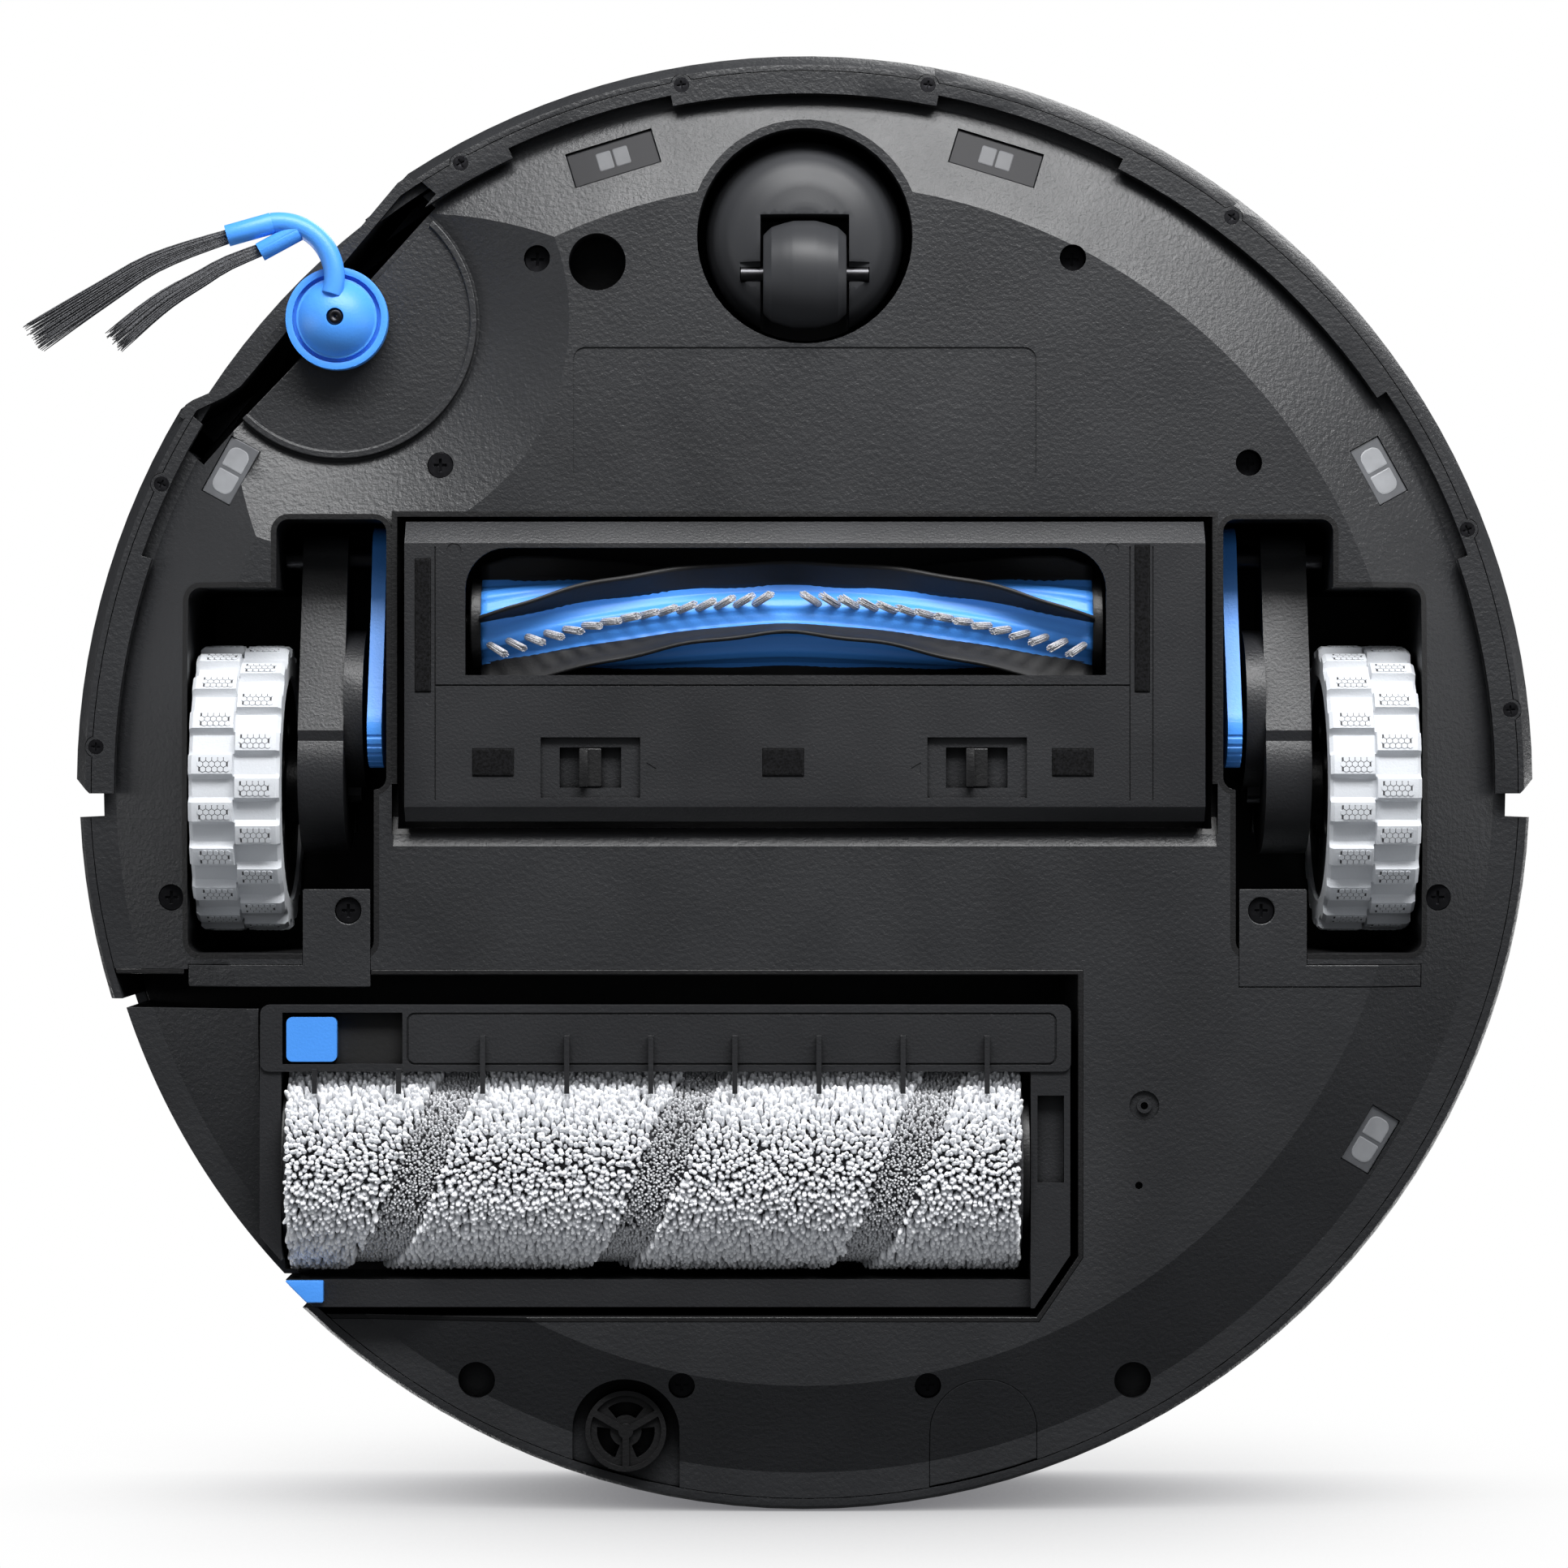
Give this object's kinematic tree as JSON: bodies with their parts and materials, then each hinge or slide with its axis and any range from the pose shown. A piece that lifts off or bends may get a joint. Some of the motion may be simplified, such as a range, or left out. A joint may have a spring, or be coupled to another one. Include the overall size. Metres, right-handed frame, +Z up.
{
  "type": "robot vacuum cleaner",
  "caption": "Round robot vacuum with a main brush, side brush, sliding roller mop, sprung drive wheels, climbing legs, caster and bumper.",
  "frame": {"origin": "on the floor, under the middle of the round body", "axes": "+Z up, -Y towards the front (the bumper), -X towards the robot's own right, where the side brush and the sliding mop are"},
  "size_m": [0.3634, 0.3525, 0.098],
  "materials": {
    "charcoal_plastic": "fine spark-eroded grain",
    "black_plastic": "fine grain",
    "gloss_dark": "smooth satin gloss",
    "window_dark": "infrared window, glossy",
    "window_clear": "frosted clear window",
    "blue_plastic": "satin",
    "white_rubber": "matt tread rubber",
    "black_rubber": "soft fin rubber",
    "dark_bristle": "nylon bristle",
    "grey_bristle": "nylon bristle",
    "felt": "needle felt",
    "mop_pile": "chenille microfibre with short grey stripes",
    "steel": "ground",
    "screw_black": "black zinc",
    "board_green": "solder mask",
    "battery_wrap": "shrink wrap",
    "tank_clear": "translucent",
    "bin_grey": "smoked"
  },
  "bodies": {
    "chassis": {"base_shell": "charcoal_plastic", "left_wheel_housing": "black_plastic", "right_wheel_housing": "black_plastic", "brush_housing": "black_plastic", "mop_housing": "black_plastic", "upper_shell": "charcoal_plastic", "left_well_cover": "charcoal_plastic", "right_well_cover": "charcoal_plastic", "side_brush_plate": "charcoal_plastic", "chassis_screws": "screw_black", "front_cliff_windows": "window_dark", "side_cliff_windows": "window_clear", "water_port": "black_plastic", "port_blank": "charcoal_plastic", "charge_contacts": "steel", "pivot_pins": "steel", "battery": "battery_wrap", "main_board": "board_green", "suction_fan": "black_plastic", "dust_bin": "bin_grey", "clean_tank": "tank_clear", "dirty_tank": "bin_grey", "brush_motor": "steel", "side_brush_motor": "steel", "front_sensor": "black_plastic"},
    "lid": {"top_cover": "charcoal_plastic"},
    "start_key": {"start_button": "gloss_dark"},
    "bumper": {"bumper_shell": "charcoal_plastic", "bumper_retainer": "charcoal_plastic", "bumper_screws": "screw_black", "sensor_window": "window_dark"},
    "left_suspension": {"left_arm": "black_plastic"},
    "left_wheel": {"left_axle": "steel", "left_hub": "black_plastic", "left_tyre": "white_rubber"},
    "left_climber": {"left_leg": "blue_plastic"},
    "right_suspension": {"right_arm": "black_plastic"},
    "right_wheel": {"right_axle": "steel", "right_hub": "black_plastic", "right_tyre": "white_rubber"},
    "right_climber": {"right_leg": "blue_plastic"},
    "caster": {"caster_fork": "gloss_dark", "caster_axle": "steel"},
    "caster_roller": {"caster_wheel": "gloss_dark"},
    "side_brush": {"side_brush_hub": "blue_plastic", "side_brush_tufts": "dark_bristle"},
    "main_brush": {"brush_core": "blue_plastic", "brush_fins": "black_rubber", "brush_tufts": "grey_bristle"},
    "brush_guard": {"brush_cover": "charcoal_plastic", "cover_felts": "felt"},
    "guard_latch_left": {"left_latch": "black_plastic"},
    "guard_latch_right": {"right_latch": "black_plastic"},
    "mop_carriage": {"mop_frame": "charcoal_plastic", "mop_side_panel": "charcoal_plastic", "mop_tag": "blue_plastic", "mop_motor": "steel"},
    "mop_roller": {"mop_core": "black_plastic", "mop_pile": "mop_pile"},
    "mop_release": {"mop_button": "blue_plastic"}
  },
  "joints": [
    {"name": "bumper_press", "type": "slide", "parent": "chassis", "child": "bumper", "axis": [0, 1, 0], "range_m": [0, 0.003], "stiffness_N_per_m": 1500, "springref_m": -0.002},
    {"name": "lid_lift", "type": "slide", "parent": "chassis", "child": "lid", "axis": [0, 0, 1], "range_m": [0, 0.06]},
    {"name": "start_press", "type": "slide", "parent": "chassis", "child": "start_key", "axis": [0, 0, -1], "range_m": [0, 0.001], "stiffness_N_per_m": 800, "springref_m": -0.0005},
    {"name": "left_suspension_swing", "type": "hinge", "parent": "chassis", "child": "left_suspension", "pos_m": [0.117, -0.0555, 0.038], "axis": [-1, 0, 0], "range_deg": [0, 18], "stiffness_Nm_per_rad": 0.8, "springref_deg": 34.38},
    {"name": "left_wheel_spin", "type": "hinge", "parent": "left_suspension", "child": "left_wheel", "pos_m": [0.137, 0.001, 0.035], "axis": [1, 0, 0], "continuous": true},
    {"name": "left_climber_swing", "type": "hinge", "parent": "chassis", "child": "left_climber", "pos_m": [0.104, -0.0555, 0.038], "axis": [-1, 0, 0], "range_deg": [0, 30]},
    {"name": "right_suspension_swing", "type": "hinge", "parent": "chassis", "child": "right_suspension", "pos_m": [-0.117, -0.0555, 0.038], "axis": [-1, 0, 0], "range_deg": [0, 18], "stiffness_Nm_per_rad": 0.8, "springref_deg": 34.38},
    {"name": "right_wheel_spin", "type": "hinge", "parent": "right_suspension", "child": "right_wheel", "pos_m": [-0.137, 0.001, 0.035], "axis": [1, 0, 0], "continuous": true},
    {"name": "right_climber_swing", "type": "hinge", "parent": "chassis", "child": "right_climber", "pos_m": [-0.104, -0.0555, 0.038], "axis": [-1, 0, 0], "range_deg": [0, 30]},
    {"name": "caster_swivel", "type": "hinge", "parent": "chassis", "child": "caster", "pos_m": [0, -0.1321, 0.038], "axis": [0, 0, 1], "continuous": true},
    {"name": "caster_roll", "type": "hinge", "parent": "caster", "child": "caster_roller", "pos_m": [0, -0.123, 0.013], "axis": [1, 0, 0], "continuous": true},
    {"name": "side_brush_spin", "type": "hinge", "parent": "chassis", "child": "side_brush", "pos_m": [-0.1127, -0.1121, 0.016], "axis": [0, 0, 1], "continuous": true},
    {"name": "main_brush_spin", "type": "hinge", "parent": "chassis", "child": "main_brush", "pos_m": [-0.0043, -0.0386, 0.019], "axis": [1, 0, 0], "continuous": true},
    {"name": "brush_guard_drop", "type": "slide", "parent": "chassis", "child": "brush_guard", "axis": [0, 0, -1], "range_m": [0, 0.03]},
    {"name": "guard_latch_left_slide", "type": "slide", "parent": "brush_guard", "child": "guard_latch_left", "axis": [-1, 0, 0], "range_m": [0, 0.004], "stiffness_N_per_m": 200, "springref_m": -0.001},
    {"name": "guard_latch_right_slide", "type": "slide", "parent": "brush_guard", "child": "guard_latch_right", "axis": [1, 0, 0], "range_m": [0, 0.004], "stiffness_N_per_m": 200, "springref_m": -0.001},
    {"name": "mop_extend", "type": "slide", "parent": "chassis", "child": "mop_carriage", "axis": [-1, 0, 0], "range_m": [0, 0.015]},
    {"name": "mop_spin", "type": "hinge", "parent": "mop_carriage", "child": "mop_roller", "pos_m": [-0.0363, 0.0925, 0.0265], "axis": [1, 0, 0], "continuous": true},
    {"name": "mop_release_slide", "type": "slide", "parent": "mop_carriage", "child": "mop_release", "axis": [1, 0, 0], "range_m": [0, 0.012]}
  ]
}
